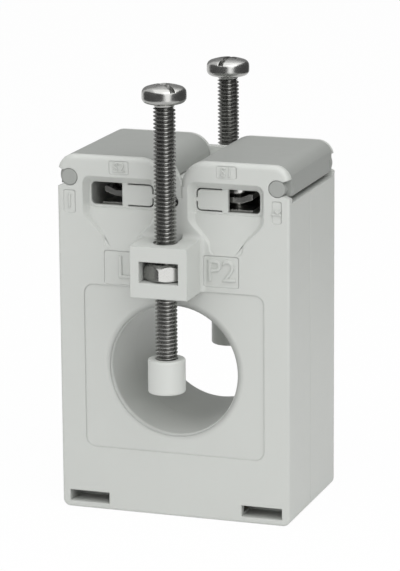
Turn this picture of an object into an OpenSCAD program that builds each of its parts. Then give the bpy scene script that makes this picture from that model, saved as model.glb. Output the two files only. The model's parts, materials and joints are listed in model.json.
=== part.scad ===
// Window-type current transformer with hinged terminal covers and two
// clamping screws for the primary conductor.
// Origin: bottom centre of the housing. +X right, +Y rear, +Z up. Millimetres.

/* [Housing] */
// Width of the housing
body_w = 44; // [43:0.5:60]
// Depth of the housing along the window
body_d = 28.3; // [27:0.1:40]
// Height of the housing with its lids closed
body_h = 66.35; // [65.5:0.05:80]
// Radius of the bottom corners
foot_r = 1.4; // [1:0.1:4]
// Radius of the outer top corners
crown_r = 3.1; // [2:0.1:3.6]
// Radius of the shoulder that faces the valley
shoulder_r = 4.6; // [3:0.1:5]
// Rounding of the outer edges
edge_r = 0.5; // [0.3:0.05:1]
// Rounding of the front edge above the lids
brow_r = 1; // [0.5:0.05:1.4]
// Thickness of the housing walls
wall = 1.6; // [1.4:0.1:1.8]
// Depth of the front shell, from its face to the joint
front_shell_d = 12.7; // [10:0.1:16]
// Length of the lip that joins the shells
lip_l = 1.2; // [0.6:0.1:2]

/* [Primary window] */
// Diameter of the window
bore_d = 24; // [16:0.5:25]
// Height of the window's centre
bore_z = 27.55; // [27:0.05:30]
// Rounding of the window's mouth
bore_mouth_r = 0.8; // [0.3:0.1:1.2]
// Wall of the tube round the window
bore_wall = 1.5; // [1:0.1:1.8]
// Width of the shallow panel round the window
panel_w = 34.3; // [30:0.1:38]
// Depth of the shallow panel
panel_t = 0.2; // [0.1:0.05:0.4]
// Height of the panel above the window's centre
panel_up = 15.1; // [14:0.1:17]
// Depth of the panel below the window's centre
panel_down = 15.55; // [14:0.05:18]

/* [Terminals] */
// Distance of each terminal's centre from the housing's side
terminal_in = 11.95; // [11.7:0.05:12.2]
// Width of each terminal chamber
chamber_w = 12.9; // [12.6:0.1:13]
// Width of each wire window
window_w = 12; // [11:0.1:12.2]
// Height of each wire window
window_h = 4.2; // [3.5:0.1:4.4]
// Distance from the top of the housing to the top of the windows
window_drop = 5; // [4.9:0.05:5.6]
// Depth of the recess in front of the windows
recess_t = 1.6; // [1:0.1:1.6]
// Thickness of the wall that holds the windows
window_wall = 0.8; // [0.5:0.1:1.2]
// Slit between a knock-out tab and its frame
slit = 0.25; // [0.15:0.05:0.4]
// Distance of each terminal screw from its wire window
screw_in = 4.95; // [4.8:0.05:5.4]
// Diameter of the terminal screw thread
term_d = 3.5; // [3:0.5:3.5]
// Length of the terminal screw under its head
term_l = 6; // [5.5:0.5:7]
// Diameter of the terminal screw head
term_head_d = 6.4; // [5.5:0.1:7]
// Height of the terminal screw head
term_head_h = 2.2; // [1.8:0.1:2.4]
// Width and length of the clamp washer
washer_w = 8; // [7:0.1:8.5]
// Thickness of the clamp washer
washer_t = 1; // [0.8:0.1:1.2]
// Gap under the clamp washer that takes the wire
wire_gap = 1.1; // [0.8:0.1:1.3]
// Thickness of the terminal bar
bar_t = 1.5; // [1:0.1:2]

/* [Lids] */
// Thickness of the lid
lid_t = 1.4; // [1:0.1:1.6]
// Gap between a lid and the housing walls
lid_gap = 0.2; // [0.15:0.05:0.4]
// Diameter of the hinge journals
journal_d = 3; // [2.6:0.1:3.2]
// Running clearance of the journals, on the radius
journal_gap = 0.08; // [0.05:0.01:0.1]
// Distance of the hinge axis from the housing's side
hinge_in = 2.36; // [2.3:0.02:2.6]
// Distance of the hinge axis below the housing's top
hinge_drop = 4.1; // [4:0.05:4.3]
// Width of the valley between the lids
valley_w = 3.2; // [3:0.1:4]

/* [Conductor clamp] */
// Distance of the clamping screws from the housing's faces
clamp_out = 3.65; // [3.6:0.05:5]
// Thread diameter of the clamping screws
clamp_d = 4; // [3:0.5:4]
// Length of the clamping screws under their heads
clamp_l = 50; // [46:1:54]
// Diameter of the clamping screw heads
clamp_head_d = 8; // [7:0.1:8.4]
// Height of the clamping screw heads
clamp_head_h = 3.5; // [2.4:0.1:3.6]
// Width across flats of the nuts
nut_af = 6.9; // [5.5:0.1:7]
// Height of the nuts
nut_h = 3.2; // [2.4:0.1:3.4]
// Width of the nut holders
holder_w = 10.8; // [10:0.1:12]
// Height of the nut holders
holder_h = 9.4; // [9:0.1:11]
// Wall of the nut holders in front of the nuts
holder_lip = 0.05; // [0.05:0.05:1]
// Diameter of the pressure caps
cap_d = 6.8; // [6:0.1:6.8]
// Height of the pressure caps
cap_h = 6.2; // [5:0.1:8]
// Thickness of a cap's floor
cap_floor = 1.4; // [1:0.1:2]
// Distance of the front cap's lower face below the window's centre
front_cap_drop = 2.9; // [0:0.1:8]
// Distance of the rear cap's lower face below the window's centre
rear_cap_drop = 2.4; // [0:0.1:8]
// Space left under the front screw in its cap
front_tip_gap = 1.3; // [0:0.1:2]
// Space left under the rear screw in its cap
rear_tip_gap = 0.1; // [0:0.05:2]

/* [Ring core] */
// Gap between the ring assembly and the housing
ring_gap = 0.25; // [0.1:0.05:0.6]
// Thickness of the tape over the winding
tape_t = 0.3; // [0.2:0.05:0.5]
// Thickness of the winding
winding_t = 0.9; // [0.5:0.1:1.2]
// Thickness of the core insulation
core_wrap_t = 0.3; // [0.2:0.05:0.5]
// Diameter of the insulated lead wires
lead_d = 1.2; // [0.8:0.1:1.6]

/* [Hidden] */

$fn = 64;
over = 1;                 // cutters reach this far past what they cut
fit = 0.05;               // clearance of seated pieces
round_fn = 32;            // facets of the housing's round corners
edge_steps = 4;           // facets of its rounded edges
grey = [0.78, 0.78, 0.76];
steel = [0.72, 0.72, 0.70];

half_w = body_w / 2;
half_d = body_d / 2;
rear_shell_d = body_d - front_shell_d;
split_y = front_shell_d - half_d;

hinge_x = half_w - hinge_in;
hinge_z = body_h - hinge_drop;
side_top = hinge_z - 2.65;           // top of the side walls under the lids
lid_low = hinge_z - 1.5;             // lower edge of a lid's outer side
valley_x = valley_w / 2;
terminal_x = half_w - terminal_in;

window_top = body_h - window_drop;
window_low = window_top - window_h;
window_in = terminal_x - window_w / 2;
window_out = terminal_x + window_w / 2;
chamber_in = terminal_x - chamber_w / 2;
chamber_out = terminal_x + chamber_w / 2;
chamber_y = half_d - recess_t - window_wall;
screw_y = chamber_y - screw_in;
bar_low = window_low - 1.15;         // the bar stands a little above the sill
bar_top = bar_low + bar_t;
washer_low = bar_top + wire_gap;
washer_top = washer_low + washer_t;
head_low = washer_top + fit;
window_wall_top = window_top + 0.35;
slab_low = bar_low - 3.1;            // floor slab between core space and terminals

bore_r = bore_d / 2;
tube_r = bore_r + bore_wall;
holder_z = bore_z + panel_up;
nut_corner = nut_af / sqrt(3);
holder_out = clamp_out + nut_corner + holder_lip;
clamp_y = half_d + clamp_out;
nut_z = holder_z + 2.75;
front_cap_z = bore_z - front_cap_drop;
rear_cap_z = bore_z - rear_cap_drop;
pocket_h = nut_h + 0.65;

post_t = 0.7;             // walls beside the terminal chambers
boss_r = 2.35;            // boss round a lid's journal
swing_r = 2.85;           // clear of the lid's lower outer edge
cheek_t = 1.2;            // end walls of a lid
gable_in = 0.15;          // the centre of the face lies back by this
funnel_h = 7.8;           // from the sill down to the funnel's lowest point
foot_slot_w = 7.7;        // pocket for a mounting foot
foot_slot_in = 9.2;       // from its inner end to the housing's side
seal_d = 2.3;             // hole for a sealing wire
seal_z = window_top - 2.55;

ring_out = min(half_w - wall, bore_z - wall, slab_low - bore_z) - ring_gap;
ring_in = tube_r + ring_gap;
ring_half = half_d - wall - ring_gap;

// ---- plain shapes ----

// A rectangle in the X-Z plane with four round corners, x from -w/2 to w/2
module panel_2d(w, low, high, r) {
    translate([-w / 2, low + r]) square([w, high - low - 2 * r]);
    translate([-w / 2 + r, low]) square([w - 2 * r, high - low]);
    for (x = [-w / 2 + r, w / 2 - r], z = [low + r, high - r])
        translate([x, z]) circle(r);
}

// Extrudes an X-Z outline from y0 to y1
module along_y(y0, y1) {
    translate([0, y1, 0]) rotate([90, 0, 0]) linear_extrude(y1 - y0) children();
}

// Quarter round of the front edge, e deep, for an edge at distance r
function edge_curve(r, e = edge_r) = [for (i = [0:edge_steps]) let (a = 90 * i / edge_steps)
    [r - e * (1 - sin(a)), e * (1 - cos(a))]];

// Round corner of the housing about the point x, z, with a rounded front edge
module corner_disc(x, z, r, depth, seam, e = edge_r) {
    translate([x, -half_d, z]) rotate([-90, 0, 0]) rotate_extrude($fn = round_fn)
        polygon(concat([[0, 0]], edge_curve(r, e), [[r, depth - seam], [r - seam, depth], [0, depth]]));
}

// Upright block between x0 and x1 with rounded front edges
module corner_post(x0, x1, z, h, depth, seam, e = edge_r) {
    half = (x1 - x0) / 2;
    right = concat(edge_curve(half, e), [[half, depth - seam], [half - seam, depth]]);
    left = [for (i = [len(right) - 1:-1:0]) [-right[i][0], right[i][1]]];
    translate([x0 + half, -half_d, z]) linear_extrude(h) polygon(concat(right, left));
}

// ---- housing ----

// The rounded block of one shell, from its face to the joint
module shell_block(depth) {
    seam = 0.12;
    hull() {
        for (x = [-1, 1]) corner_disc(x * (half_w - foot_r), foot_r, foot_r, depth, seam);
        corner_post(-half_w, half_w, side_top - wall, wall, depth, seam);
    }
}

// The wall that stands up at the end of one lid
module hump_plate() {
    x1 = valley_x + shoulder_r;
    x2 = half_w - crown_r;
    z1 = body_h - shoulder_r;
    z2 = body_h - crown_r;
    e = brow_r;
    corner_disc(x1, z1, shoulder_r, wall, 0, e);
    corner_disc(x2, z2, crown_r, wall, 0, e);
    corner_post(valley_x, half_w, side_top - wall, z1 - side_top + wall, wall, 0, edge_r);
    top = concat([for (p = edge_curve(body_h - z1, e)) [p[1], z1 + p[0]]],
        [[wall, body_h], [wall, z1], [0, z1]]);
    translate([x1, -half_d, 0]) rotate([90, 0, 90]) linear_extrude(x2 - x1) polygon(top);
    side = concat([[0, 0]], edge_curve(half_w - x2, edge_r), [[half_w - x2, wall], [0, wall]]);
    translate([x2, -half_d, z1]) linear_extrude(z2 - z1) polygon(side);
}

// Space for the ring, with the window's tube left standing
module core_space(depth) {
    difference() {
        along_y(-half_d + wall, -half_d + depth + over)
            panel_2d(body_w - 2 * wall, wall, slab_low, 1);
        along_y(-half_d, -half_d + depth + over) translate([0, bore_z]) circle(tube_r);
    }
}

// Window through both shells with its rounded mouth
module bore_cut(depth) {
    along_y(-half_d - over, -half_d + depth + over)
        translate([0, bore_z]) circle(bore_r, $fn = 96);
    translate([0, -half_d, bore_z]) rotate([-90, 0, 0]) rotate_extrude($fn = 96)
        difference() {
            translate([0, -over]) square([bore_r + bore_mouth_r, over + bore_mouth_r]);
            translate([bore_r + bore_mouth_r, bore_mouth_r]) circle(bore_mouth_r);
        }
}

// Right half of the wire funnel's outline below a window, from its round
// bottom up: the sides curve out from the throat to the mouth
function funnel_side() =
    let (throat = 3.3, r = 1.7, mouth = window_w / 2 + 1.1, steps = 12,
        low = window_low - funnel_h, z0 = window_low - 6.2, z1 = window_low - 1)
    concat([for (i = [0:4]) let (a = 90 * i / 4) [throat - r + r * sin(a), low + r * (1 - cos(a))]],
        [for (i = [1:steps]) let (t = i / steps, e = t * t * (3 - 2 * t))
            [throat + (mouth - throat) * e, z0 + (z1 - z0) * t]],
        [[mouth, window_low + 0.5]]);

// Wire funnel: its floor runs out to the face and its sides slope
module funnel() {
    right = funnel_side();
    n = 2 * len(right);
    side = concat(right, [for (i = [len(right) - 1:-1:0]) [-right[i][0], right[i][1]]]);
    low = side[0][1];
    fall = (recess_t - 0.25) / (window_low + 0.5 - low);
    function sunk(z) = 0.05 + fall * (z - low);
    function inner(p) = p[0] - sign(p[0]) * 0.8 * sunk(p[1]);
    points = concat([for (p = side) [p[0], -half_d - over, p[1]]],
        [for (p = side) [p[0], -half_d, p[1]]],
        [for (p = side) [inner(p), -half_d + sunk(p[1]), p[1]]]);
    polyhedron(points, concat([[for (i = [n - 1:-1:0]) i]],
        [for (k = [0, n], i = [0:n - 1]) [k + i, k + (i + 1) % n, k + n + (i + 1) % n]],
        [for (k = [0, n], i = [0:n - 1]) [k + i, k + n + (i + 1) % n, k + n + i]],
        [[for (i = [0:n - 1]) 2 * n + i]]));
}

// Recess in front of one window, with a sloping ceiling, and its funnel
module wire_recess() {
    brow = 1.3;               // rise of the ceiling towards the face
    y0 = -half_d - over;
    y1 = -half_d + recess_t;
    translate([terminal_x, 0, 0]) {
        hull() {
            along_y(y0, -half_d)
                panel_2d(window_w + 2.2, window_low - 1, window_top + brow, 1.4, $fn = 24);
            along_y(y1 - 0.2, y1)
                panel_2d(window_w + 0.5, window_low - 0.3, window_top, 0.7, $fn = 24);
        }
        funnel();
    }
}

// Wire window: the outer half is open, the inner half keeps a knock-out tab
module window_cut() {
    y0 = -half_d + recess_t - over / 2;
    y1 = -chamber_y + over / 2;
    mid = terminal_x;
    along_y(y0, y1) {
        difference() {
            translate([terminal_x, 0]) panel_2d(window_w, window_low, window_top, 0.9);
            translate([window_in - over, 0]) square([mid - window_in + over, body_h]);
        }
        difference() {
            translate([terminal_x, 0]) panel_2d(window_w, window_low, window_top, 0.9);
            translate([terminal_x, 0])
                panel_2d(window_w - 2 * slit, window_low + slit, window_top - slit, 0.7);
            translate([mid - 1.1, 0]) square([window_w, body_h]);
            translate([window_in - over, window_low + window_h / 2 - 0.35]) square([2 * over, 0.7]);
        }
    }
}

// Slot that a lid journal snaps into, open to the side
module journal_slot() {
    along_y(-half_d - over, -half_d + wall + over) translate([hinge_x, hinge_z]) {
        circle(journal_d / 2 + journal_gap);
        polygon([[0, -1.3], [1.2, -1.3], [hinge_in + 0.2, -1.9],
            [hinge_in + 0.2, 1.75], [1.2, 1.3], [0, 1.3]]);
    }
}

// Terminal chamber, screw wells and the channel that the lid's edge swings in
module chamber_cut(depth) {
    y1 = -half_d + depth + over;
    translate([chamber_in, -chamber_y, bar_low])
        cube([chamber_w, y1 + chamber_y, body_h]);
    along_y(-half_d + wall, y1) intersection() {
        translate([hinge_x, hinge_z]) circle(swing_r);
        translate([chamber_out + post_t, 0]) square([half_w, body_h]);
    }
    translate([terminal_x, -screw_y, slab_low - over])
        cylinder(d = term_d + 0.6, h = bar_low - slab_low + 2 * over);
    translate([terminal_x, 0, slab_low - over])
        cylinder(d = lead_d + 0.6, h = bar_low - slab_low + 2 * over);
}

// Hollow in the web between the two chambers
module web_space(depth) {
    y0 = -chamber_y;
    translate([-chamber_in + post_t, y0, slab_low - over])
        cube([2 * (chamber_in - post_t), depth - half_d - y0 + over, window_low + 2 - slab_low + over]);
}

// Holder for the clamping nut, moulded on the face: a hollow curve leads
// its sides and its top into the face
module nut_holder() {
    rise = 0.2;               // rise of the top, from its front to the face
    r = 1;                    // hollow curve at the face
    steps = 6;
    y0 = -half_d - holder_out;
    y1 = -half_d + 0.5;
    low = holder_z;
    top = holder_z + holder_h;
    hollow = [for (i = [0:steps]) let (a = 90 * i / steps) [r * (1 - sin(a)), r * (1 - cos(a))]];
    intersection() {
        union() {
            translate([-holder_w / 2, 0, low - over]) cube_y(holder_w, y0, y1, holder_h + 2 * over + rise + r);
            for (s = [0, 1]) mirror([s, 0, 0])
                translate([holder_w / 2, -half_d, low - over]) linear_extrude(holder_h + 2 * over + rise + r)
                    polygon(concat([for (p = hollow) [p[0], -p[1]]], [[0, 0.5], [r, 0.5]]));
        }
        rotate([90, 0, 90]) translate([0, 0, -body_w / 2]) linear_extrude(body_w)
            polygon(concat([[y0, low], [y0, top], [-half_d - r, top + rise]],
                [for (i = [steps:-1:0]) [-half_d - hollow[i][1], top + rise + hollow[i][0]]],
                [[y1, top + rise + r], [y1, low]]));
    }
}

module nut_holder_cut() {
    w = nut_af + 0.5;
    translate([-w / 2, -half_d - holder_out - over, nut_z])
        cube([w, over + holder_lip + 2 * nut_corner + 0.1, pocket_h]);
    translate([0, -clamp_y, holder_z - over]) cylinder(d = clamp_d + 0.4, h = holder_h + 2 * over);
    translate([-clamp_d / 2 + 0.05, -clamp_y, holder_z - over])
        cube([clamp_d - 0.1, clamp_out, holder_h + 2 * over]);
}

// Pocket for a mounting foot
module foot_slot() {
    translate([half_w - foot_slot_in, -half_d - over, 1.2]) cube([foot_slot_w, over + 5, 2.1]);
}

// Block from y0 to y1 that starts at x = 0
module cube_y(w, y0, y1, h) {
    translate([0, y0, 0]) cube([w, y1 - y0, h]);
}

// Rim that laps the shells: inside of the wall, drawn wider by grow
module lip_2d(grow) {
    t = wall / 2 - 0.1;
    difference() {
        panel_2d(body_w - 2 * wall + 2 * t + 2 * grow, wall - t - grow, slab_low + t + grow, 1.5);
        panel_2d(body_w - 2 * wall, wall, slab_low, 1);
    }
}

// Everything that both shells share, with the face at -Y
module shell(depth) {
    mid_w = chamber_out + post_t;
    difference() {
        union() {
            shell_block(depth);
            for (s = [0, 1]) mirror([s, 0, 0]) hump_plate();
            translate([-mid_w, -half_d + wall / 2, slab_low])
                cube([2 * mid_w, depth - wall / 2, window_wall_top - slab_low]);
            nut_holder();
            children();
        }
        core_space(depth);
        web_space(depth);
        bore_cut(depth);
        for (s = [0, 1]) mirror([s, 0, 0]) {
            wire_recess();
            window_cut();
            journal_slot();
            chamber_cut(depth);
            foot_slot();
        }
        nut_holder_cut();
        along_y(-half_d - over, -half_d + panel_t)
            panel_2d(panel_w, bore_z - panel_down, holder_z, 1.8);
        translate([0, -half_d - over, seal_z]) rotate([-90, 0, 0]) cylinder(d = seal_d, h = wall + 2 * over);
    }
}

module front_shell() {
    color(grey) difference() {
        shell(front_shell_d)
            along_y(-half_d + gable_in, -half_d + wall)
                polygon([[-1.8, slab_low], [1.8, slab_low], [1.8, body_h - 4.2], [0, body_h - 0.85], [-1.8, body_h - 4.2]]);
        along_y(split_y - lip_l - fit, split_y + over) lip_2d(fit);
    }
}

module rear_shell() {
    color(grey) {
        mirror([0, 1, 0]) shell(rear_shell_d)
            along_y(-half_d + gable_in, -half_d + wall)
                translate([-3, slab_low]) square([6, body_h - 2.25 - slab_low]);
        along_y(split_y - lip_l, split_y + fit) lip_2d(0);
    }
}

// ---- lids ----

// Right lid's section, drawn smaller by inset, down to its two lower edges
module lid_2d(inset) {
    side = lid_gap + inset;
    x1 = valley_x + shoulder_r;
    x2 = half_w - crown_r;
    top = body_h - inset;
    translate([x1, lid_low]) square([x2 - x1, top - lid_low]);
    translate([x1, body_h - shoulder_r + lid_gap]) circle(shoulder_r - side);
    translate([valley_x + side, lid_low]) square([shoulder_r - side, body_h - shoulder_r + lid_gap - lid_low]);
    intersection() {
        translate([x2, body_h - crown_r]) circle(crown_r - inset);
        square([half_w - side, body_h]);
    }
    translate([x2, lid_low]) square([crown_r - side, body_h - crown_r - lid_low]);
}

module lid() {
    y1 = half_d - wall - lid_gap;
    low = window_wall_top + lid_gap;
    difference() {
        union() {
            difference() {
                along_y(-y1, y1) lid_2d(0);
                along_y(-y1 + cheek_t, y1 - cheek_t) lid_2d(lid_t);
                // the skirt stops above the chamber walls
                translate([0, -body_d, 0]) cube([hinge_x - boss_r, 2 * body_d, low]);
                translate([0, -body_d, 0])
                    cube([hinge_x + 0.8, 2 * body_d, hinge_z - 0.6]);
                translate([chamber_in, -y1 + cheek_t, 0])
                    cube([hinge_x + 0.8 - chamber_in, 2 * (y1 - cheek_t), hinge_z + 0.5]);
            }
            for (s = [-1, 1]) {
                along_y(s > 0 ? y1 - cheek_t : -y1, s > 0 ? y1 : -y1 + cheek_t)
                    translate([hinge_x, hinge_z]) circle(boss_r);
                along_y(s > 0 ? y1 - cheek_t : -half_d + fit, s > 0 ? half_d - fit : -y1 + cheek_t)
                    translate([hinge_x, hinge_z]) circle(d = journal_d);
            }
        }
    }
}

module lid_right() {
    color(grey) lid();
}

module lid_left() {
    color(grey) mirror([1, 0, 0]) lid();
}

// ---- ring core ----

// A ring round the window's axis
module ring(r_in, r_out, half_l) {
    translate([0, half_l, bore_z]) rotate([90, 0, 0]) difference() {
        cylinder(r = r_out, h = 2 * half_l, $fn = 96);
        translate([0, 0, -over]) cylinder(r = r_in, h = 2 * (half_l + over), $fn = 96);
    }
}

// A hollow ring: the wall of thickness t that wraps the ring inside it
module ring_wrap(depth, t) {
    d = depth + t + fit;
    difference() {
        ring(ring_in + depth, ring_out - depth, ring_half - depth);
        ring(ring_in + d, ring_out - d, ring_half - d);
    }
}

module outer_tape() {
    color([0.85, 0.75, 0.35]) ring_wrap(0, tape_t);
}

module secondary_winding() {
    color([0.72, 0.42, 0.2]) ring_wrap(tape_t + fit, winding_t);
}

module core_wrap() {
    color([0.9, 0.88, 0.8]) ring_wrap(tape_t + winding_t + 2 * fit, core_wrap_t);
}

module ring_core() {
    d = tape_t + winding_t + core_wrap_t + 3 * fit;
    color([0.35, 0.36, 0.38]) ring(ring_in + d, ring_out - d, ring_half - d);
}

// Lead from the ring up to a terminal bar
module lead() {
    x = terminal_x - lead_d / 2;
    low = bore_z + sqrt(ring_out * ring_out - x * x) + fit;
    translate([terminal_x, 0, low]) cylinder(d = lead_d, h = bar_low - low);
}

module lead_s1() {
    color([0.6, 0.1, 0.1]) lead();
}

module lead_s2() {
    color([0.1, 0.1, 0.1]) mirror([1, 0, 0]) lead();
}

// ---- terminals ----

module terminal_bar() {
    w = washer_w + 0.4;
    y1 = chamber_y - 0.4;
    difference() {
        translate([terminal_x - w / 2, -y1, bar_low]) cube([w, 2 * y1, bar_t]);
        for (y = [-screw_y, screw_y]) translate([terminal_x, y, bar_low - over])
            cylinder(d = term_d + 2 * fit, h = bar_t + 2 * over);
    }
}

module terminal_bar_s1() {
    color("silver") terminal_bar();
}

module terminal_bar_s2() {
    color("silver") mirror([1, 0, 0]) terminal_bar();
}

// Saddle washer with raised wings that hold the wire
module clamp_washer() {
    w = washer_w / 2;
    lift = 0.7;
    difference() {
        along_y(-washer_w / 2, washer_w / 2) translate([0, washer_low])
            polygon([[-w, lift], [-w * 0.5, 0], [w * 0.5, 0], [w, lift],
                [w, washer_t + lift], [w * 0.86, washer_t + lift], [w * 0.46, washer_t],
                [-w * 0.46, washer_t], [-w * 0.86, washer_t + lift], [-w, washer_t + lift]]);
        translate([0, 0, washer_low - over]) cylinder(d = term_d + 0.3, h = washer_t + 2 * over);
        translate([0, 0, washer_top]) cylinder(d = term_head_d + 0.4, h = 2);
    }
}

// Pan head with a rounded crown, its base at z = 0
module pan_head(d, h) {
    crown = d * 0.95;
    rotate_extrude() intersection() {
        translate([0, h - crown]) circle(crown, $fn = 96);
        union() {
            square([d / 2, h * 0.5]);
            translate([0, h * 0.5]) square([d / 2 - h * 0.45, h * 0.5]);
            translate([d / 2 - h * 0.45, h * 0.5]) circle(h * 0.45);
            square([d / 2 - h * 0.45, h * 0.6]);
        }
        square([d, h]);
    }
}

// Slot and cross of a combination drive, cut from the crown at height h
module drive_cut(d, h) {
    translate([-d / 2 - over, -0.13 * d / 2, h * 0.55]) cube([d + 2 * over, 0.13 * d, h]);
    for (a = [0, 90]) rotate(a)
        translate([-0.29 * d, -0.085 * d, h * 0.3]) cube([0.58 * d, 0.17 * d, h]);
    translate([0, 0, h * 0.25]) cylinder(d = 0.26 * d, h = h);
}

// Screw that hangs down from its head's base at z = 0
module screw(d, l, head_d, head_h) {
    tip = 0.6;
    difference() {
        pan_head(head_d, head_h);
        drive_cut(head_d, head_h);
    }
    translate([0, 0, -l + tip]) cylinder(d = d, h = l - tip + head_h * 0.2);
    translate([0, 0, -l]) cylinder(d1 = d - 2 * tip, d2 = d, h = tip);
}

module terminal_screw() {
    screw(term_d, term_l, term_head_d, term_head_h);
}

// Puts a terminal's piece at its place: side 1 right or -1 left, end 1 rear or -1 front
module at_terminal(side, end) {
    translate([side * terminal_x, end * screw_y, 0]) children();
}

module clamp_washer_s1_front() { color("silver") at_terminal(1, -1) clamp_washer(); }
module clamp_washer_s1_rear() { color("silver") at_terminal(1, 1) clamp_washer(); }
module clamp_washer_s2_front() { color("silver") at_terminal(-1, -1) clamp_washer(); }
module clamp_washer_s2_rear() { color("silver") at_terminal(-1, 1) clamp_washer(); }
module terminal_screw_s1_front() {
    color(steel) at_terminal(1, -1) translate([0, 0, head_low]) terminal_screw();
}
module terminal_screw_s1_rear() {
    color(steel) at_terminal(1, 1) translate([0, 0, head_low]) terminal_screw();
}
module terminal_screw_s2_front() {
    color(steel) at_terminal(-1, -1) translate([0, 0, head_low]) terminal_screw();
}
module terminal_screw_s2_rear() {
    color(steel) at_terminal(-1, 1) translate([0, 0, head_low]) terminal_screw();
}

// ---- conductor clamp ----

// Hexagon nut with chamfered corners, at the front clamp
module clamp_nut() {
    translate([0, -clamp_y, nut_z]) difference() {
        intersection() {
            rotate(30) cylinder(r = nut_corner, h = nut_h, $fn = 6);
            translate([0, 0, -nut_corner * 0.25]) rotate_extrude($fn = 96)
                polygon([[0, 0], [nut_af * 0.44, nut_corner * 0.25 - 0.02], [nut_corner + 0.1, nut_h * 0.3 + 0.6],
                    [nut_corner + 0.1, nut_h * 0.7 + nut_corner * 0.25],
                    [nut_af * 0.46, nut_h + nut_corner * 0.25 + 0.001], [0, nut_h + nut_corner * 0.25 + 0.001]]);
        }
        translate([0, 0, -over]) cylinder(d = clamp_d + 2 * fit, h = nut_h + 2 * over);
    }
}

module clamp_nut_front() {
    color(steel) clamp_nut();
}

module clamp_nut_rear() {
    color(steel) mirror([0, 1, 0]) clamp_nut();
}

// Pressure cap with its lower face at height z
module pressure_cap(z) {
    r = 0.35;
    translate([0, 0, z]) difference() {
        rotate_extrude() {
            translate([0, 0]) square([cap_d / 2 - r, cap_h]);
            translate([0, r]) square([cap_d / 2, cap_h - 2 * r]);
            translate([cap_d / 2 - r, r]) circle(r, $fn = 32);
            translate([cap_d / 2 - r, cap_h - r]) circle(r, $fn = 32);
        }
        translate([0, 0, cap_floor]) cylinder(d = clamp_d + 2 * fit, h = cap_h);
    }
}

module pressure_cap_front() {
    color(grey) translate([0, -clamp_y, 0]) pressure_cap(front_cap_z);
}

module pressure_cap_rear() {
    color(grey) translate([0, clamp_y, 0]) pressure_cap(rear_cap_z);
}

module clamp_screw_front() {
    color(steel) translate([0, -clamp_y, front_cap_z + cap_floor + front_tip_gap + clamp_l])
        screw(clamp_d, clamp_l, clamp_head_d, clamp_head_h);
}

module clamp_screw_rear() {
    color(steel) translate([0, clamp_y, rear_cap_z + cap_floor + rear_tip_gap + clamp_l])
        screw(clamp_d, clamp_l, clamp_head_d, clamp_head_h);
}

front_shell();
rear_shell();
lid_left();
lid_right();
ring_core();
core_wrap();
secondary_winding();
outer_tape();
lead_s1();
lead_s2();
terminal_bar_s1();
terminal_bar_s2();
clamp_washer_s1_front();
clamp_washer_s1_rear();
clamp_washer_s2_front();
clamp_washer_s2_rear();
terminal_screw_s1_front();
terminal_screw_s1_rear();
terminal_screw_s2_front();
terminal_screw_s2_rear();
clamp_nut_front();
clamp_nut_rear();
clamp_screw_front();
clamp_screw_rear();
pressure_cap_front();
pressure_cap_rear();
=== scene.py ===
"""Looks of a window-type current transformer: moulded housing, hinged lids,
threaded clamping screws and terminal screws, with a white studio stage."""

import json
import math

import bpy
from mathutils import Matrix, Vector

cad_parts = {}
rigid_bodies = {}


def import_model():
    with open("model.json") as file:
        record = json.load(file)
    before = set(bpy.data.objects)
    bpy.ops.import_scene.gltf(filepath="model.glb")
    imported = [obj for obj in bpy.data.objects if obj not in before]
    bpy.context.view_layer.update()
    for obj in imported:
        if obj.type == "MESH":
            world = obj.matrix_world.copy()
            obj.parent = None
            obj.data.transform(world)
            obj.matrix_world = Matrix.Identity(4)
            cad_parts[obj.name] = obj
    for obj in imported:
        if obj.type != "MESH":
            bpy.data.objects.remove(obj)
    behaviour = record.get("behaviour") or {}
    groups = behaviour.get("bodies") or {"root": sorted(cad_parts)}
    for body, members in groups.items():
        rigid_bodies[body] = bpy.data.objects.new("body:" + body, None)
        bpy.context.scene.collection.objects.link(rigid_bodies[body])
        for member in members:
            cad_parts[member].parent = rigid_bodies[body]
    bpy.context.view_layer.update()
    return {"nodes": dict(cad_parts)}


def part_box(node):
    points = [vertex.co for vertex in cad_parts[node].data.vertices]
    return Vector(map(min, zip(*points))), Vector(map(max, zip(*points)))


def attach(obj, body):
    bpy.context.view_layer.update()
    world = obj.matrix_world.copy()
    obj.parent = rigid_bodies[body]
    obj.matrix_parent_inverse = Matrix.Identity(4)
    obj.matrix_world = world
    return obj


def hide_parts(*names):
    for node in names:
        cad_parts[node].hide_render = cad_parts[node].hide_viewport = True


bl_info = {
    "name": "Current Transformer Looks",
    "version": (1, 0, 0),
    "blender": (4, 5, 0),
    "location": "3D View > Sidebar > Transformer",
    "description": "Finishes, threads, marks and studio for a current transformer",
    "category": "Object",
}

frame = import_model()
MM = 0.001
FACE_Y = -0.01415  # front face of the housing
CLAMP_AXIS = (0.0, 0.0178)  # the clamping screws stand at +-y
TERMINAL_AXIS = (0.01005, 0.0068)  # the terminal screws at +-x, +-y
CLAMP_CREST = 0.002  # radius over the threads
TERMINAL_CREST = 0.00175

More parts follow.
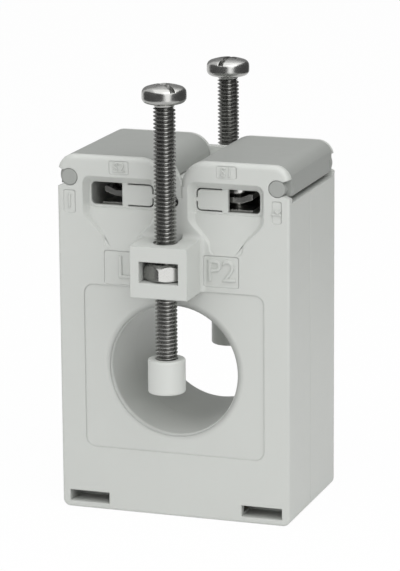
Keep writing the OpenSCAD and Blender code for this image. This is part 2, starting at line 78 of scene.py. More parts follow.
# CAD nodes by the finish they take
FINISH_OF = {
    "front_shell": "housing_front",
    "rear_shell": "housing",
    "lid_left": "lid",
    "lid_right": "lid",
    "ring_core": "core_steel",
    "core_wrap": "insulation",
    "secondary_winding": "copper_wire",
    "outer_tape": "tape",
    "lead_s1": "lead_red",
    "lead_s2": "lead_black",
    "terminal_bar_s1": "plated_bar",
    "terminal_bar_s2": "plated_bar",
    "clamp_washer_s1_front": "plated_bar",
    "clamp_washer_s1_rear": "plated_bar",
    "clamp_washer_s2_front": "plated_bar",
    "clamp_washer_s2_rear": "plated_bar",
    "terminal_screw_s1_front": "screw_steel",
    "terminal_screw_s1_rear": "screw_steel",
    "terminal_screw_s2_front": "screw_steel",
    "terminal_screw_s2_rear": "screw_steel",
    "clamp_nut_front": "nut_steel",
    "clamp_nut_rear": "nut_steel",
    "clamp_screw_front": "screw_steel",
    "clamp_screw_rear": "screw_steel",
    "pressure_cap_front": "cap_plastic",
    "pressure_cap_rear": "cap_plastic",
}

# Lamps of the stage: place in metres and width
LAMPS = {
    "key": ((-0.35, -0.65, 0.45), 0.9),
    "top": ((0.05, 0.0, 0.70), 0.9),
    "high": ((0.55, -0.45, 0.60), 0.9),
}

# Cards that only mirror-like metal sees: azimuth from the front in degrees,
# distance, width, lower and upper edge in metres, and tone
CARDS = {
    "card_left": (-44.0, 0.13, 0.45, 0.0005, 0.20, 0.12),
    "card_right": (112.0, 0.13, 0.45, 0.0005, 0.20, 0.12),
    "card_back": (199.0, 0.60, 0.90, 0.05, 0.50, 0.30),
    "card_bright": (34.0, 0.14, 0.055, 0.0005, 0.20, 2.0),
}

# Terminal marks moulded in the front face: text, the sunk plate's centre x and
# z, its half width and half height, letter height and turn, in mm and degrees
MARKS = [
    ("S2", -10.10, 64.39, 1.83, 1.21, 1.75, 0),
    ("S1", 10.27, 64.70, 1.87, 1.10, 1.75, 0),
    ("l", -19.66, 57.78, 1.09, 2.08, 2.6, 0),
    ("k", 19.62, 57.98, 0.85, 2.0, 1.9, -90),
    ("L", -9.30, 46.00, 3.80, 3.10, 4.3, 0),
    ("P2", 9.22, 46.55, 3.27, 2.85, 4.1, 0),
]


def length(name, description, default):
    return bpy.props.FloatProperty(
        name=name, description=description, default=default, unit="LENGTH", precision=5
    )


def colour(name, description, default):
    return bpy.props.FloatVectorProperty(
        name=name,
        description=description,
        default=default,
        size=3,
        min=0.0,
        max=1.0,
        subtype="COLOR",
    )


class FinishSettings(bpy.types.PropertyGroup):
    """Colours and roughness of the moulded and plated parts"""

    housing: colour("Housing", "Moulded plastic of the two shells", (0.565, 0.580, 0.555))
    lid: colour("Lid", "Moulded plastic of the lids", (0.342, 0.354, 0.337))
    cap: colour("Cap", "Moulded plastic of the pressure caps", (0.60, 0.615, 0.59))
    steel: colour("Plated steel", "Nickel plate of the screws", (0.40, 0.40, 0.388))
    bar: colour("Tin plate", "Tin plate of bars and washers", (0.50, 0.50, 0.48))
    plastic_roughness: bpy.props.FloatProperty(
        name="Plastic roughness",
        description="Roughness of the moulded plastic",
        default=0.46,
        min=0.1,
        max=1.0,
        subtype="FACTOR",
    )
    edge: length("Edge round", "Small round on every moulded edge", 0.00034)


class ThreadSettings(bpy.types.PropertyGroup):
    """Threads and heads of the screws"""

    clamp_pitch: length("Clamping pitch", "Pitch of the clamping screws", 0.0007)
    terminal_pitch: length("Terminal pitch", "Pitch of the terminal screws", 0.0006)
    turn_steps: bpy.props.IntProperty(
        name="Steps", description="Steps in one turn of thread", default=36, min=12, max=96
    )


def power(name, default):
    return bpy.props.FloatProperty(
        name=name, description=name + " lamp's power", default=default, min=0, unit="POWER"
    )


class StudioSettings(bpy.types.PropertyGroup):
    """Light levels of the stage"""

    key: power("Key", 2.80)
    top: power("Top", 2.58)
    high: power("High", 4.46)
    ambient: bpy.props.FloatProperty(
        name="Ambient", description="Level of the ambient light", default=0.23, min=0, max=2
    )
    floor_glow: bpy.props.FloatProperty(
        name="Floor glow",
        description="Share of the floor's own white where the background is seen",
        default=0.97,
        min=0,
        max=1,
    )


# ---- modelling helpers ----


def deselect():
    for o in bpy.context.view_layer.objects:
        o.select_set(False)


def make_active(obj, *others):
    deselect()
    for o in (obj, *others):
        o.select_set(True)
    bpy.context.view_layer.objects.active = obj


def place(obj, name):
    """Names obj and puts its place into its mesh."""
    make_active(obj)
    bpy.ops.object.transform_apply(location=True, rotation=True, scale=True)
    obj.name = name
    obj.data.name = name
    return obj


def apply_modifiers(obj):
    make_active(obj)
    for m in list(obj.modifiers):
        bpy.ops.object.modifier_apply(modifier=m.name)


def join(obj, *others):
    make_active(obj, *others)
    bpy.ops.object.join()
    return obj


def select_faces(obj, test):
    """Selects the corners of the faces whose centre and normal pass the test."""
    for v in obj.data.vertices:
        v.select = False
    for e in obj.data.edges:
        e.select = False
    for p in obj.data.polygons:
        p.select = bool(test(p.center, p.normal))
        if p.select:
            for k in p.vertices:
                obj.data.vertices[k].select = True


def box(name, size, centre):
    """Block of that size about a centre, its place already in its mesh."""
    deselect()
    bpy.ops.mesh.primitive_cube_add(size=1, location=centre, scale=size)
    return place(bpy.context.object, name)


def polyline(name, axis, points):
    """Open line through points (radius, height) beside the vertical axis."""
    deselect()
    bpy.ops.mesh.primitive_plane_add(size=MM, location=axis)
    obj = bpy.context.object
    bpy.ops.object.mode_set(mode="EDIT")
    bpy.ops.mesh.select_mode(type="VERT")
    bpy.ops.mesh.select_all(action="SELECT")
    bpy.ops.mesh.merge(type="CENTER")
    r, z = points[0]
    bpy.ops.transform.translate(value=(r, 0, z))
    for (r0, z0), (r1, z1) in zip(points, points[1:]):
        bpy.ops.mesh.extrude_vertices_move(
            TRANSFORM_OT_translate={"value": (r1 - r0, 0, z1 - z0)}
        )
    bpy.ops.object.mode_set(mode="OBJECT")
    obj.name = name
    return obj


def turned(name, axis, points, steps=64):
    """Solid of revolution about the vertical axis."""
    obj = polyline(name, axis, points)
    spin = obj.modifiers.new("turn", "SCREW")
    spin.steps = spin.render_steps = steps
    spin.use_merge_vertices = True
    spin.merge_threshold = 1e-6
    apply_modifiers(obj)
    outwards(obj)
    return obj


def outwards(obj):
    make_active(obj)
    bpy.ops.object.mode_set(mode="EDIT")
    bpy.ops.mesh.select_all(action="SELECT")
    bpy.ops.mesh.remove_doubles(threshold=1e-6)
    bpy.ops.mesh.normals_make_consistent(inside=False)
    bpy.ops.object.mode_set(mode="OBJECT")


def cut(obj, cutter):
    """Takes the cutter out of obj."""
    boolean = obj.modifiers.new("cut", "BOOLEAN")
    boolean.operation = "DIFFERENCE"
    boolean.solver = "EXACT"
    boolean.object = cutter
    apply_modifiers(obj)
    bpy.data.objects.remove(cutter)


def soften(obj, width, angle, segments=2):
    bevel = obj.modifiers.new("soften", "BEVEL")
    bevel.width = width
    bevel.segments = segments
    bevel.limit_method = "ANGLE"
    bevel.angle_limit = math.radians(angle)
    bevel.use_clamp_overlap = True
    apply_modifiers(obj)


def smooth(obj, angle=35):
    make_active(obj)
    bpy.ops.object.shade_smooth_by_angle(angle=math.radians(angle))


# ---- material helpers ----


def new_group(name, inputs, outputs):
    """Shader node group with typed sockets: (name, kind, default)."""
    tree = bpy.data.node_groups.new(name, "ShaderNodeTree")
    for label, kind, default in inputs:
        s = tree.interface.new_socket(name=label, in_out="INPUT", socket_type=kind)
        if default is not None:
            s.default_value = default
    for label, kind in outputs:
        tree.interface.new_socket(name=label, in_out="OUTPUT", socket_type=kind)
    return tree, tree.nodes.new("NodeGroupInput"), tree.nodes.new("NodeGroupOutput")


def math_node(tree, operation, a, b=None, c=None):
    n = tree.nodes.new("ShaderNodeMath")
    n.operation = operation
    for i, v in enumerate((a, b, c)):
        if v is None:
            continue
        if isinstance(v, (int, float)):
            n.inputs[i].default_value = v
        else:
            tree.links.new(v, n.inputs[i])
    return n.outputs[0]


def noise(tree, vector, scale, detail=2.0):
    n = tree.nodes.new("ShaderNodeTexNoise")
    n.inputs["Scale"].default_value = scale
    n.inputs["Detail"].default_value = detail
    tree.links.new(vector, n.inputs["Vector"])
    return n.outputs["Fac"]


def scaled_colour(tree, base, factor):
    n = tree.nodes.new("ShaderNodeVectorMath")
    n.operation = "SCALE"
    tree.links.new(base, n.inputs[0])
    tree.links.new(factor, n.inputs["Scale"])
    return n.outputs[0]


def moulded_group():
    """Fine satin grain of moulded plastic, with slight drifts of tone and gloss."""
    tree, i, o = new_group(
        "Moulded Surface",
        [
            ("Vector", "NodeSocketVector", None),
            ("Colour", "NodeSocketColor", (0.6, 0.6, 0.6, 1)),
            ("Roughness", "NodeSocketFloat", 0.45),
            ("Drift", "NodeSocketFloat", 0.03),
            ("Grain", "NodeSocketFloat", 0.000004),
        ],
        [
            ("Colour", "NodeSocketColor"),
            ("Roughness", "NodeSocketFloat"),
            ("Height", "NodeSocketFloat"),
        ],
    )
    v = i.outputs["Vector"]
    flow = math_node(tree, "SUBTRACT", noise(tree, v, 60, 3), 0.5)
    tone = math_node(tree, "MULTIPLY_ADD", flow, i.outputs["Drift"], 1.0)
    tree.links.new(scaled_colour(tree, i.outputs["Colour"], tone), o.inputs["Colour"])
    patch = math_node(tree, "SUBTRACT", noise(tree, v, 450, 3), 0.5)
    tree.links.new(
        math_node(tree, "MULTIPLY_ADD", patch, 0.09, i.outputs["Roughness"]),
        o.inputs["Roughness"],
    )
    fine = math_node(tree, "SUBTRACT", noise(tree, v, 5200, 2), 0.5)
    tree.links.new(math_node(tree, "MULTIPLY", fine, i.outputs["Grain"]), o.inputs["Height"])
    return tree


def plated_group():
    """Plated metal: faint clouding, drawn streaks and small dings."""
    tree, i, o = new_group(
        "Plated Surface",
        [
            ("Vector", "NodeSocketVector", None),
            ("Colour", "NodeSocketColor", (0.6, 0.6, 0.6, 1)),
            ("Roughness", "NodeSocketFloat", 0.2),
            ("Clouding", "NodeSocketFloat", 0.16),
            ("Dings", "NodeSocketFloat", 0.000004),
        ],
        [
            ("Colour", "NodeSocketColor"),
            ("Roughness", "NodeSocketFloat"),
            ("Height", "NodeSocketFloat"),
        ],
    )
    v = i.outputs["Vector"]
    cloud = math_node(tree, "SUBTRACT", noise(tree, v, 700, 4), 0.5)
    tone = math_node(tree, "MULTIPLY_ADD", cloud, i.outputs["Clouding"], 1.0)
    tree.links.new(scaled_colour(tree, i.outputs["Colour"], tone), o.inputs["Colour"])
    tree.links.new(
        math_node(tree, "MULTIPLY_ADD", cloud, 0.16, i.outputs["Roughness"]),
        o.inputs["Roughness"],
    )
    ding = math_node(tree, "SUBTRACT", noise(tree, v, 1800, 2), 0.5)
    tree.links.new(math_node(tree, "MULTIPLY", ding, i.outputs["Dings"]), o.inputs["Height"])
    return tree


def sunk_plate_group():
    """1 inside a rounded rectangle on the front face, 0 outside, soft at its rim."""
    tree, i, o = new_group(
        "Sunk Plate",
        [
            ("Vector", "NodeSocketVector", None),
            ("Centre X", "NodeSocketFloat", 0.0),
            ("Centre Z", "NodeSocketFloat", 0.0),
            ("Half Width", "NodeSocketFloat", 0.001),
            ("Half Height", "NodeSocketFloat", 0.001),
            ("Corner", "NodeSocketFloat", 0.0004),
            ("Rim", "NodeSocketFloat", 0.00012),
        ],
        [("Inside", "NodeSocketFloat")],
    )
    split = tree.nodes.new("ShaderNodeSeparateXYZ")
    tree.links.new(i.outputs["Vector"], split.inputs[0])
    reach = []
    for axis, centre, half in (("X", "Centre X", "Half Width"), ("Z", "Centre Z", "Half Height")):
        away = math_node(
            tree, "ABSOLUTE", math_node(tree, "SUBTRACT", split.outputs[axis], i.outputs[centre])
        )
        core = math_node(tree, "SUBTRACT", i.outputs[half], i.outputs["Corner"])
        reach.append(math_node(tree, "MAXIMUM", math_node(tree, "SUBTRACT", away, core), 0.0))
    far = math_node(
        tree,
        "SQRT",
        math_node(
            tree,
            "ADD",
            math_node(tree, "MULTIPLY", reach[0], reach[0]),
            math_node(tree, "MULTIPLY", reach[1], reach[1]),
        ),
    )
    edge = math_node(tree, "SUBTRACT", i.outputs["Corner"], far)
    n = tree.nodes.new("ShaderNodeMapRange")
    n.interpolation_type = "SMOOTHSTEP"
    tree.links.new(edge, n.inputs["Value"])
    tree.links.new(math_node(tree, "MULTIPLY", i.outputs["Rim"], -1.0), n.inputs["From Min"])
    tree.links.new(i.outputs["Rim"], n.inputs["From Max"])
    on_face = math_node(tree, "LESS_THAN", split.outputs["Y"], FACE_Y + 0.00035)
    tree.links.new(math_node(tree, "MULTIPLY", n.outputs["Result"], on_face), o.inputs["Inside"])
    return tree


def thread_groove_group():
    """1 in the grooves of upright threads at (+-Axis X, +-Axis Y), else 0."""
    tree, i, o = new_group(
        "Thread Groove",
        [
            ("Vector", "NodeSocketVector", None),
            ("Axis X", "NodeSocketFloat", 0.0),
            ("Axis Y", "NodeSocketFloat", 0.0),
            ("Crest", "NodeSocketFloat", 0.002),
            ("Root", "NodeSocketFloat", 0.0016),
            ("Top", "NodeSocketFloat", 0.07),
        ],
        [("Groove", "NodeSocketFloat")],
    )
    split = tree.nodes.new("ShaderNodeSeparateXYZ")
    tree.links.new(i.outputs["Vector"], split.inputs[0])
    squares = []
    for axis in ("X", "Y"):
        away = math_node(tree, "ABSOLUTE", split.outputs[axis])
        off = math_node(tree, "SUBTRACT", away, i.outputs["Axis " + axis])
        squares.append(math_node(tree, "MULTIPLY", off, off))
    radius = math_node(tree, "SQRT", math_node(tree, "ADD", *squares))
    n = tree.nodes.new("ShaderNodeMapRange")
    tree.links.new(radius, n.inputs["Value"])
    tree.links.new(i.outputs["Crest"], n.inputs["From Min"])
    tree.links.new(i.outputs["Root"], n.inputs["From Max"])
    below = math_node(tree, "LESS_THAN", split.outputs["Z"], i.outputs["Top"])
    tree.links.new(math_node(tree, "MULTIPLY", n.outputs["Result"], below), o.inputs["Groove"])
    return tree


def round_mouth_group():
    """Relief that lets the faces and the window's wall fall to a soft round mouth."""
    tree, i, o = new_group(
        "Round Mouth",
        [
            ("Vector", "NodeSocketVector", None),
            ("Centre Z", "NodeSocketFloat", 0.02755),
            ("Radius", "NodeSocketFloat", 0.012),
            ("Half Depth", "NodeSocketFloat", 0.01415),
            ("Width", "NodeSocketFloat", 0.0014),
            ("Fall", "NodeSocketFloat", 0.0009),
        ],
        [("Height", "NodeSocketFloat")],
    )
    split = tree.nodes.new("ShaderNodeSeparateXYZ")
    tree.links.new(i.outputs["Vector"], split.inputs[0])
    up = math_node(tree, "SUBTRACT", split.outputs["Z"], i.outputs["Centre Z"])
    radius = math_node(
        tree,
        "SQRT",
        math_node(
            tree,
            "ADD",
            math_node(tree, "MULTIPLY", split.outputs["X"], split.outputs["X"]),
            math_node(tree, "MULTIPLY", up, up),
        ),
    )
    outside = math_node(tree, "SUBTRACT", radius, i.outputs["Radius"])
    inside = math_node(
        tree,
        "SUBTRACT",
        i.outputs["Half Depth"],
        math_node(tree, "ABSOLUTE", split.outputs["Y"]),
    )
    away = math_node(tree, "DIVIDE", math_node(tree, "MAXIMUM", outside, inside), i.outputs["Width"])
    near = math_node(
        tree, "MAXIMUM", math_node(tree, "SUBTRACT", 1.0, math_node(tree, "MAXIMUM", away, 0.0)), 0.0
    )
    fall = math_node(tree, "MULTIPLY", math_node(tree, "MULTIPLY", near, near), i.outputs["Fall"])
    tree.links.new(math_node(tree, "MULTIPLY", fall, -1.0), o.inputs["Height"])
    return tree


def new_material(name):
    m = bpy.data.materials.new("finish_" + name)
    m.use_nodes = True
    shader = next(n for n in m.node_tree.nodes if n.type == "BSDF_PRINCIPLED")
    return m, m.node_tree, shader


def surface_material(name, group, base, roughness, metallic=0.0, edge=0.0, **values):
    """Material whose colour, roughness and relief come from one surface group."""
    m, tree, shader = new_material(name)
    at = tree.nodes.new("ShaderNodeTexCoord").outputs["Object"]
    g = tree.nodes.new("ShaderNodeGroup")
    g.node_tree = group
    tree.links.new(at, g.inputs["Vector"])
    g.inputs["Colour"].default_value = (*base, 1)
    g.inputs["Roughness"].default_value = roughness
    for key, v in values.items():
        g.inputs[key].default_value = v
    tree.links.new(g.outputs["Colour"], shader.inputs["Base Color"])
    tree.links.new(g.outputs["Roughness"], shader.inputs["Roughness"])
    shader.inputs["Metallic"].default_value = metallic
    bump = tree.nodes.new("ShaderNodeBump")
    bump.inputs["Distance"].default_value = 1.0
    tree.links.new(g.outputs["Height"], bump.inputs["Height"])
    tree.links.new(bump.outputs["Normal"], shader.inputs["Normal"])
    if edge:
        bevel = tree.nodes.new("ShaderNodeBevel")
        bevel.samples = 6
        bevel.inputs["Radius"].default_value = edge
        tree.links.new(bevel.outputs["Normal"], bump.inputs["Normal"])
    return m


def relief_of(material):
    """Tree, coordinates, bump node and present height of a surface material."""
    tree = material.node_tree
    at = next(n for n in tree.nodes if n.type == "TEX_COORD").outputs["Object"]
    bump = next(n for n in tree.nodes if n.type == "BUMP")
    return tree, at, bump, bump.inputs["Height"].links[0].from_socket


def round_mouths(material, mouth_group):
    """Adds the soft round of the window's mouths to the housing's relief."""
    tree, at, bump, height = relief_of(material)
    g = tree.nodes.new("ShaderNodeGroup")
    g.node_tree = mouth_group
    tree.links.new(at, g.inputs["Vector"])
    tree.links.new(math_node(tree, "ADD", g.outputs["Height"], height), bump.inputs["Height"])


def darken_grooves(material, groove_group):
    """Darkens the grooves of both kinds of screw."""
    tree, at, _, _ = relief_of(material)
    shader = next(n for n in tree.nodes if n.type == "BSDF_PRINCIPLED")
    grooves = []
    for (x, y), crest, top in (
        (CLAMP_AXIS, CLAMP_CREST, 0.0768),
        (TERMINAL_AXIS, TERMINAL_CREST, 0.0575),
    ):
        g = tree.nodes.new("ShaderNodeGroup")
        g.node_tree = groove_group
        tree.links.new(at, g.inputs["Vector"])
        for key, v in (("Axis X", x), ("Axis Y", y), ("Crest", crest), ("Root", crest * 0.92)):
            g.inputs[key].default_value = v
        g.inputs["Top"].default_value = top
        grooves.append(g.outputs["Groove"])
    shade = math_node(tree, "MULTIPLY_ADD", math_node(tree, "MAXIMUM", *grooves), -0.15, 1.0)
    base = shader.inputs["Base Color"].links[0].from_socket
    tree.links.new(scaled_colour(tree, base, shade), shader.inputs["Base Color"])


def sink_marks(material, plate_group):
    """Adds the sunk plates of the terminal marks to the housing's relief."""
    tree, at, bump, height = relief_of(material)
    for _, x, z, half_w, half_h, _, _ in MARKS:
        g = tree.nodes.new("ShaderNodeGroup")
        g.node_tree = plate_group
        tree.links.new(at, g.inputs["Vector"])
        g.inputs["Centre X"].default_value = x * MM
        g.inputs["Centre Z"].default_value = z * MM
        g.inputs["Half Width"].default_value = half_w * MM
        g.inputs["Half Height"].default_value = half_h * MM
        height = math_node(tree, "MULTIPLY_ADD", g.outputs["Inside"], -0.0002, height)
    tree.links.new(height, bump.inputs["Height"])


def make_materials(s):
    moulded, plated, plate = moulded_group(), plated_group(), sunk_plate_group()
    rough = s.plastic_roughness
    made = {
        "housing": surface_material("housing", moulded, s.housing, rough, edge=s.edge),
        "housing_front": surface_material("housing_front", moulded, s.housing, rough, edge=s.edge),
        "lid": surface_material("lid", moulded, s.lid, rough, edge=s.edge),
        "cap_plastic": surface_material("cap_plastic", moulded, s.cap, 0.42, edge=s.edge),
        "screw_steel": surface_material("screw_steel", plated, s.steel, 0.25, metallic=1.0),
        "nut_steel": surface_material(
            "nut_steel", plated, s.steel, 0.26, metallic=1.0, edge=0.00015
        ),
        "plated_bar": surface_material(
            "plated_bar", plated, s.bar, 0.24, metallic=1.0, edge=0.00012
        ),
        "core_steel": surface_material("core_steel", plated, (0.09, 0.10, 0.11), 0.4, metallic=0.9),
        "insulation": surface_material("insulation", moulded, (0.7, 0.65, 0.52), 0.55),
        "copper_wire": surface_material(
            "copper_wire", plated, (0.48, 0.16, 0.05), 0.3, metallic=0.7
        ),
        "tape": surface_material("tape", moulded, (0.62, 0.42, 0.06), 0.3),
        "lead_red": surface_material("lead_red", moulded, (0.30, 0.012, 0.01), 0.35),
        "lead_black": surface_material("lead_black", moulded, (0.012, 0.012, 0.012), 0.35),
    }
    mouth = round_mouth_group()
    round_mouths(made["housing"], mouth)
    round_mouths(made["housing_front"], mouth)
    sink_marks(made["housing_front"], plate)
    darken_grooves(made["screw_steel"], thread_groove_group())
    return made


def dress(obj, material):
    obj.data.materials.clear()
    obj.data.materials.append(material)


def finish(name):
    """The detailed material of that name; the CAD file brings plain ones too."""
    return bpy.data.materials["finish_" + name]


# ---- operators ----


class TRANSFORMER_OT_finishes(bpy.types.Operator):
    """Give every part of the transformer its finish"""

    bl_idname = "transformer.finishes"
    bl_label = "Finishes"

    def execute(self, context):
        made = make_materials(context.scene.transformer_finish)
        for node, name in FINISH_OF.items():
            dress(frame["nodes"][node], made[name])
        return {"FINISHED"}


def thread(name, axis, low, high, crest, root, pitch, steps):
    """Threaded shank from low to high: one groove turned up the axis."""
    turns = int((high - low) / pitch)
    half = pitch / 2
    groove = [
        (crest, 0),
        (crest, pitch * 0.10),
        (root, half - pitch * 0.07),
        (root, half + pitch * 0.07),
        (crest, pitch * 0.90),
        (crest, pitch),
    ]
    obj = polyline(name, (axis[0], axis[1], low), groove)
    screw = obj.modifiers.new("thread", "SCREW")
    screw.steps = screw.render_steps = steps
    screw.screw_offset = pitch
    screw.iterations = turns
    screw.use_merge_vertices = True
    screw.merge_threshold = 2e-6
    apply_modifiers(obj)
    outwards(obj)
    return obj, low + (turns + 1) * pitch


def arc(cx, cz, r, a0, a1, n):
    """Points on an arc in the radius and height plane, angles in degrees."""
    return [
        (
            cx + r * math.cos(math.radians(a0 + (a1 - a0) * k / n)),
            cz + r * math.sin(math.radians(a0 + (a1 - a0) * k / n)),
        )
        for k in range(n + 1)
    ]


def head(name, axis, base, radius, height, turn):
    """Pan head with a rounded rim, a slight dome, a slot and a cross recess."""
    low, high = height * 0.30, height * 0.34
    side = arc(radius - low, low, low, -78, 0, 8)
    side += arc(radius - high, height * 0.52, high, 0, 68, 8)
    top = []
    r0, z0 = side[-1]
    for k in range(1, 9):
        t = k / 8
        top.append((r0 * (1 - t), z0 + (height - z0) * (1 - (1 - t) ** 2)))
    top[-1] = (0, height)
    foot = radius * 0.72
    points = [(0, 0), (foot, 0)] + side + top
    points = [(r, z + base) for r, z in points]
    obj = turned(name, (axis[0], axis[1], 0), points, 72)
    obj = place(obj, name)
    centre = Vector((axis[0], axis[1], base))
    d = 2 * radius
    cutter = box("slot", (d * 1.2, d * 0.125, height), centre + Vector((0, 0, height * 1.16)))
    arms = []
    for a in (0, 90):
        arm = box("arm", (d * 0.56, d * 0.15, height), centre + Vector((0, 0, height * 0.93)))
        taper(arm, base + height * 0.93, 0.55)
        arm.rotation_euler = (0, 0, 0)
        turn_about(arm, centre, a)
        arms.append(arm)
    cutters = [cutter] + arms
    for c in cutters:
        turn_about(c, centre, turn)
    for c in cutters:
        cut(obj, c)
    soften(obj, radius * 0.022, 32)
    smooth(obj, 30)
    return obj


def taper(obj, mid, factor):
    """Draws the lower half of a block in towards its middle."""
    make_active(obj)
    select_faces(obj, lambda c, n: n.z < -0.5)
    bpy.ops.object.mode_set(mode="EDIT")
    bpy.ops.transform.resize(value=(factor, factor, 1))
    bpy.ops.object.mode_set(mode="OBJECT")


def turn_about(obj, centre, degrees):
    """Turns a placed object about a vertical line through centre."""
    make_active(obj)
    m = (
        Matrix.Translation(centre)
        @ Matrix.Rotation(math.radians(degrees), 4, "Z")
        @ Matrix.Translation(-centre)
    )
    obj.matrix_world = m @ obj.matrix_world
    bpy.ops.object.transform_apply(location=True, rotation=True, scale=True)


def screw_piece(name, node, body, pitch, steps, crest, neck, head_r, turn):
    """Threaded screw with its head, in place of a CAD screw."""
    lo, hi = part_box(node)
    axis = ((lo.x + hi.x) / 2, (lo.y + hi.y) / 2)
    tip, top, base = lo.z, hi.z, neck
    root = crest - 0.61 * pitch
    start = tip + 0.55 * pitch
    shank, end = thread(name + "_thread", axis, start, base - 1.1 * pitch, crest, root, pitch, steps)
    shank = place(shank, name + "_thread")
    core = turned(
        name + "_core",
        (axis[0], axis[1], 0),
        [
            (0, tip),
            (root - 0.25 * pitch, tip),
            (root + 0.05 * pitch, tip + 0.5 * pitch),
            (root + 0.02 * pitch, end - 0.3 * pitch),
            (crest * 0.93, end + 0.2 * pitch),
            (crest * 0.93, base + 0.0002),
            (0, base + 0.0002),
        ],
        48,
    )
    core = place(core, name + "_core")
    smooth(core, 40)
    smooth(shank, 40)
    cap = head(name, axis, base, head_r, top - base, turn)
    obj = join(cap, shank, core)
    obj.name = name
    obj.data.name = name
    dress(obj, finish("screw_steel"))
    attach(obj, body)
    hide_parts(node)
    return obj


class TRANSFORMER_OT_clamp_screws(bpy.types.Operator):
    """Model the two threaded clamping screws"""

    bl_idname = "transformer.clamp_screws"
    bl_label = "Clamping screws"

    def execute(self, context):
        t = context.scene.transformer_thread
        for end, turn in (("front", 133), ("rear", 87)):
            node = "clamp_screw_" + end
            lo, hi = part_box(node)
            screw_piece(
                "threaded_" + node,
                node,
                node,
                t.clamp_pitch,
                t.turn_steps,
                CLAMP_CREST,
                lo.z + 0.050,
                (hi.x - lo.x) / 2,
                turn,
            )
        return {"FINISHED"}


class TRANSFORMER_OT_terminal_screws(bpy.types.Operator):
    """Model the four threaded terminal screws"""

    bl_idname = "transformer.terminal_screws"
    bl_label = "Terminal screws"

    def execute(self, context):
        t = context.scene.transformer_thread
        turns = {"s1_front": 20, "s1_rear": 65, "s2_front": -15, "s2_rear": 40}
        for place_name, turn in turns.items():
            node = "terminal_screw_" + place_name
            lo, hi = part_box(node)
            screw_piece(
                "threaded_" + node,
                node,
                "screw_" + place_name,
                t.terminal_pitch,
                24,
                TERMINAL_CREST,
                lo.z + 0.006,
                (hi.x - lo.x) / 2,
                turn,
            )
        return {"FINISHED"}


class TRANSFORMER_OT_marks(bpy.types.Operator):
    """Raise the terminal marks on the front face"""

    bl_idname = "transformer.marks"
    bl_label = "Terminal marks"

    def execute(self, context):
        for text, x, z, _, _, tall, turn in MARKS:
            deselect()
            bpy.ops.object.text_add(
                location=(x * MM, FACE_Y - 0.00003, z * MM),
                rotation=(math.radians(90), math.radians(turn), 0),
            )
            obj = bpy.context.object
            obj.data.body = text
            obj.data.size = tall * MM * 1.38
            obj.data.align_x = "CENTER"
            obj.data.align_y = "CENTER"
            obj.data.extrude = 0.00014
            obj.data.bevel_depth = 0.00004
            obj.data.bevel_resolution = 1
            obj.data.resolution_u = 4
            make_active(obj)
            bpy.ops.object.convert(target="MESH")
            obj = place(bpy.context.object, "mark_" + text)
            outwards(obj)
            smooth(obj, 30)
            dress(obj, finish("housing"))
            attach(obj, "housing")
        return {"FINISHED"}


class TRANSFORMER_OT_stage(bpy.types.Operator):
    """Set the white floor, the lamps, the world and the camera"""

    bl_idname = "transformer.stage"
    bl_label = "Stage"

    def execute(self, context):
        s = context.scene.transformer_studio
        make_floor(s.floor_glow)
        make_world(s.ambient)
        for name, (at, width) in LAMPS.items():
            add_lamp(name + "_lamp", getattr(s, name), at, width)
        make_cards()
        make_camera()
        context.scene.view_settings.view_transform = "Standard"
        return {"FINISHED"}


def background_rays(tree):
    """1 for rays that see the white background: camera, glossy and transmission."""
    path = tree.nodes.new("ShaderNodeLightPath")
    seen = math_node(
        tree, "MAXIMUM", path.outputs["Is Camera Ray"], path.outputs["Is Glossy Ray"]
    )
    return math_node(tree, "MAXIMUM", seen, path.outputs["Is Transmission Ray"])


def make_floor(glow_share):
    deselect()
    bpy.ops.mesh.primitive_plane_add(size=6, location=(0, 0, -0.00002))
    floor = place(bpy.context.object, "floor")
    m, tree, shader = new_material("floor")
    shader.inputs["Base Color"].default_value = (0.9, 0.9, 0.9, 1)
    shader.inputs["Roughness"].default_value = 0.8
    glow = tree.nodes.new("ShaderNodeEmission")
    glow.inputs["Strength"].default_value = 1.0
    mix = tree.nodes.new("ShaderNodeMixShader")
    share = math_node(tree, "MULTIPLY", background_rays(tree), glow_share)
    tree.links.new(share, mix.inputs["Fac"])
    tree.links.new(shader.outputs[0], mix.inputs[1])
    tree.links.new(glow.outputs[0], mix.inputs[2])
    out = next(n for n in tree.nodes if n.type == "OUTPUT_MATERIAL")
    tree.links.new(mix.outputs[0], out.inputs["Surface"])
    dress(floor, m)


def make_world(ambient):
    world = bpy.data.worlds.new("studio")
    bpy.context.scene.world = world
    world.use_nodes = True
    tree = world.node_tree
    back = next(n for n in tree.nodes if n.type == "BACKGROUND")
    back.inputs["Color"].default_value = (1, 1, 1, 1)
    strength = math_node(
        tree, "MULTIPLY_ADD", background_rays(tree), 1.0 - ambient, ambient
    )
    tree.links.new(strength, back.inputs["Strength"])


def add_lamp(name, watts, at, width):
    deselect()
    bpy.ops.object.light_add(type="AREA", location=at)
    lamp = bpy.context.object
    lamp.name = name
    lamp.data.shape = "RECTANGLE"
    lamp.data.size = width
    lamp.data.size_y = width
    lamp.data.energy = watts
    aim = Vector((0, 0, 0.035)) - Vector(at)
    lamp.rotation_euler = aim.to_track_quat("-Z", "Y").to_euler()
    return lamp


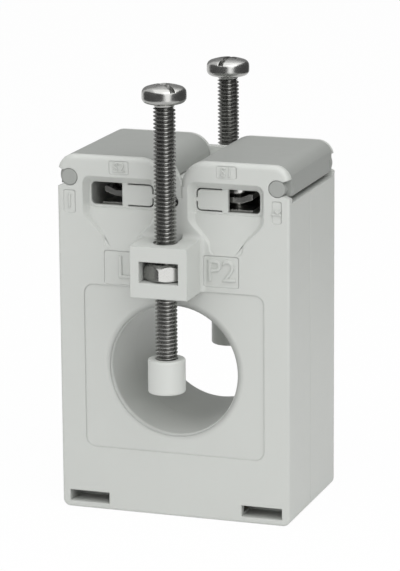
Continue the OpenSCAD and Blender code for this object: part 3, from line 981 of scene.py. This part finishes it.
def make_cards():
    """Dark cards that only mirror-like metal sees, around the object."""
    for name, (azimuth, far, width, low, high, tone) in CARDS.items():
        m, tree, _ = new_material(name)
        glow = tree.nodes.new("ShaderNodeEmission")
        glow.inputs["Strength"].default_value = tone
        out = next(n for n in tree.nodes if n.type == "OUTPUT_MATERIAL")
        tree.links.new(glow.outputs[0], out.inputs["Surface"])
        a = math.radians(azimuth)
        deselect()
        bpy.ops.mesh.primitive_plane_add(
            size=1, location=(far * math.sin(a), -far * math.cos(a), (low + high) / 2)
        )
        card = bpy.context.object
        card.scale = (width, high - low, 1)
        card.rotation_euler = (math.radians(90), 0, a)
        card = place(card, name)
        dress(card, m)
        card.visible_camera = False
        card.visible_diffuse = False
        card.visible_shadow = False
        card.visible_transmission = False


def make_camera():
    """Long lens from the front right, a little above."""
    yaw, pitch, roll = 0.332991, 0.232777, -0.007704
    at = Vector((0.178721, -0.515929, 0.169687))
    deselect()
    bpy.ops.object.camera_add(location=at)
    cam = bpy.context.object
    cam.name = "camera"
    cam.data.sensor_fit = "AUTO"
    cam.data.sensor_width = 36
    cam.data.lens = 191.878
    cam.data.clip_start = 0.01
    cam.data.clip_end = 50
    forward = Vector(
        (-math.sin(yaw) * math.cos(pitch), math.cos(yaw) * math.cos(pitch), -math.sin(pitch))
    )
    right = Vector((math.cos(yaw), math.sin(yaw), 0))
    up = right.cross(forward)
    right, up = (
        right * math.cos(roll) + up * math.sin(roll),
        up * math.cos(roll) - right * math.sin(roll),
    )
    m = Matrix((right, up, -forward)).transposed().to_4x4()
    m.translation = at
    cam.matrix_world = m
    bpy.context.scene.camera = cam


class TRANSFORMER_PT_panel(bpy.types.Panel):
    """Lists the transformer's pieces"""

    bl_label = "Transformer"
    bl_idname = "TRANSFORMER_PT_panel"
    bl_space_type = "VIEW_3D"
    bl_region_type = "UI"
    bl_category = "Transformer"

    def draw(self, context):
        layout = self.layout
        for group in ("transformer_finish", "transformer_thread", "transformer_studio"):
            settings = getattr(context.scene, group)
            for key in settings.__annotations__:
                layout.prop(settings, key)
        for op in OPERATORS:
            layout.operator(op.bl_idname)


OPERATORS = (
    TRANSFORMER_OT_stage,
    TRANSFORMER_OT_finishes,
    TRANSFORMER_OT_clamp_screws,
    TRANSFORMER_OT_terminal_screws,
    TRANSFORMER_OT_marks,
)
CLASSES = (FinishSettings, ThreadSettings, StudioSettings, *OPERATORS, TRANSFORMER_PT_panel)


def register():
    for c in CLASSES:
        bpy.utils.register_class(c)
    scene = bpy.types.Scene
    scene.transformer_finish = bpy.props.PointerProperty(type=FinishSettings)
    scene.transformer_thread = bpy.props.PointerProperty(type=ThreadSettings)
    scene.transformer_studio = bpy.props.PointerProperty(type=StudioSettings)


def unregister():
    scene = bpy.types.Scene
    del scene.transformer_studio
    del scene.transformer_thread
    del scene.transformer_finish
    for c in reversed(CLASSES):
        bpy.utils.unregister_class(c)


def main():
    register()
    for op in OPERATORS:
        group, name = op.bl_idname.split(".")
        result = getattr(getattr(bpy.ops, group), name)()
        if result != {"FINISHED"}:
            raise RuntimeError(op.bl_label + " did not finish")


if __name__ == "__main__":
    main()
